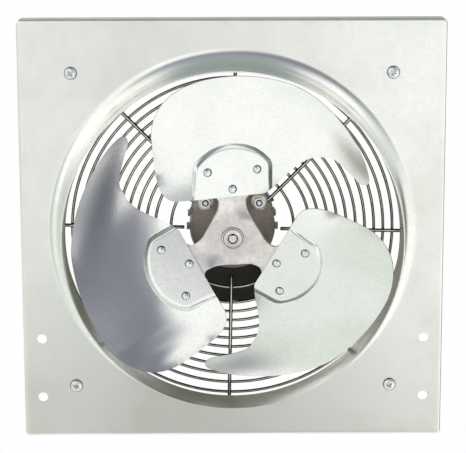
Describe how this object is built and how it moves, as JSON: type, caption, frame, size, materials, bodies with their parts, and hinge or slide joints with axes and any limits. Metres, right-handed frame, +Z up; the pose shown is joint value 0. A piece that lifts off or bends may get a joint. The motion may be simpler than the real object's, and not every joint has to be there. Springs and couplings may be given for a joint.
{
  "type": "exhaust fan",
  "caption": "Square wall exhaust fan: riveted three-blade propeller in a spun throat, driven by a small motor hung on a round wire guard",
  "frame": {"origin": "on the fan's axis, in the plane of the panel's front face", "axes": "+Z up, +X to the right seen from the front, +Y into the wall, away from the viewer: the throat and propeller stand out towards -Y and the motor lies towards +Y"},
  "size_m": [0.3968, 0.1774, 0.3968],
  "materials": {
    "galvanised": "galvanised sheet, satin",
    "plated_wire": "dark plated wire, semi-gloss",
    "motor_paint": "taupe paint, semi-gloss",
    "laminations": "varnished steel laminations",
    "enamelled_copper": "varnished copper wire",
    "bronze": "sintered bronze",
    "black_paint": "black enamel, semi-gloss",
    "black_plastic": "moulded nylon",
    "shaft_steel": "ground steel",
    "dark_steel": "black oxide",
    "satin_steel": "stamped steel, satin",
    "blade_sheet": "galvanised blade sheet, satin",
    "zinc": "bright zinc plate"
  },
  "bodies": {
    "housing": {"mounting_panel": "galvanised", "wire_guard": "plated_wire", "guard_arm_1": "plated_wire", "guard_arm_2": "plated_wire", "guard_arm_3": "plated_wire", "guard_arm_4": "plated_wire", "panel_screw_1": "zinc", "panel_nut_1": "zinc", "panel_screw_2": "zinc", "panel_nut_2": "zinc", "panel_screw_3": "zinc", "panel_nut_3": "zinc", "panel_screw_4": "zinc", "panel_nut_4": "zinc", "motor_front_shield": "motor_paint", "motor_rear_shield": "motor_paint", "front_bearing_cup": "motor_paint", "rear_bearing_cup": "motor_paint", "stator_core": "laminations", "stator_winding": "enamelled_copper", "front_bearing": "bronze", "rear_bearing": "bronze", "motor_bolt_1": "zinc", "motor_nut_1": "zinc", "cup_washer_1": "zinc", "arm_nut_1": "zinc", "motor_bolt_2": "zinc", "motor_nut_2": "zinc", "cup_washer_2": "zinc", "arm_nut_2": "zinc", "motor_bolt_3": "zinc", "motor_nut_3": "zinc", "cup_washer_3": "zinc", "arm_nut_3": "zinc", "motor_bolt_4": "zinc", "motor_nut_4": "zinc", "cup_washer_4": "zinc", "arm_nut_4": "zinc", "wiring_box": "black_paint", "wiring_box_cover": "black_paint", "cover_screw_1": "zinc", "cover_screw_2": "zinc", "outlet_bushing": "black_plastic"},
    "rotor": {"shaft": "shaft_steel", "rotor_core": "laminations", "hub_bushing": "shaft_steel", "set_screw": "dark_steel", "spider": "satin_steel", "blade_1": "blade_sheet", "blade_1_rivet_1": "zinc", "blade_1_rivet_2": "zinc", "blade_1_rivet_3": "zinc", "blade_2": "blade_sheet", "blade_2_rivet_1": "zinc", "blade_2_rivet_2": "zinc", "blade_2_rivet_3": "zinc", "blade_3": "blade_sheet", "blade_3_rivet_1": "zinc", "blade_3_rivet_2": "zinc", "blade_3_rivet_3": "zinc"}
  },
  "joints": [
    {"name": "propeller_spin", "type": "hinge", "parent": "housing", "child": "rotor", "pos_m": [0, 0, 0], "axis": [0, 1, 0], "continuous": true}
  ]
}
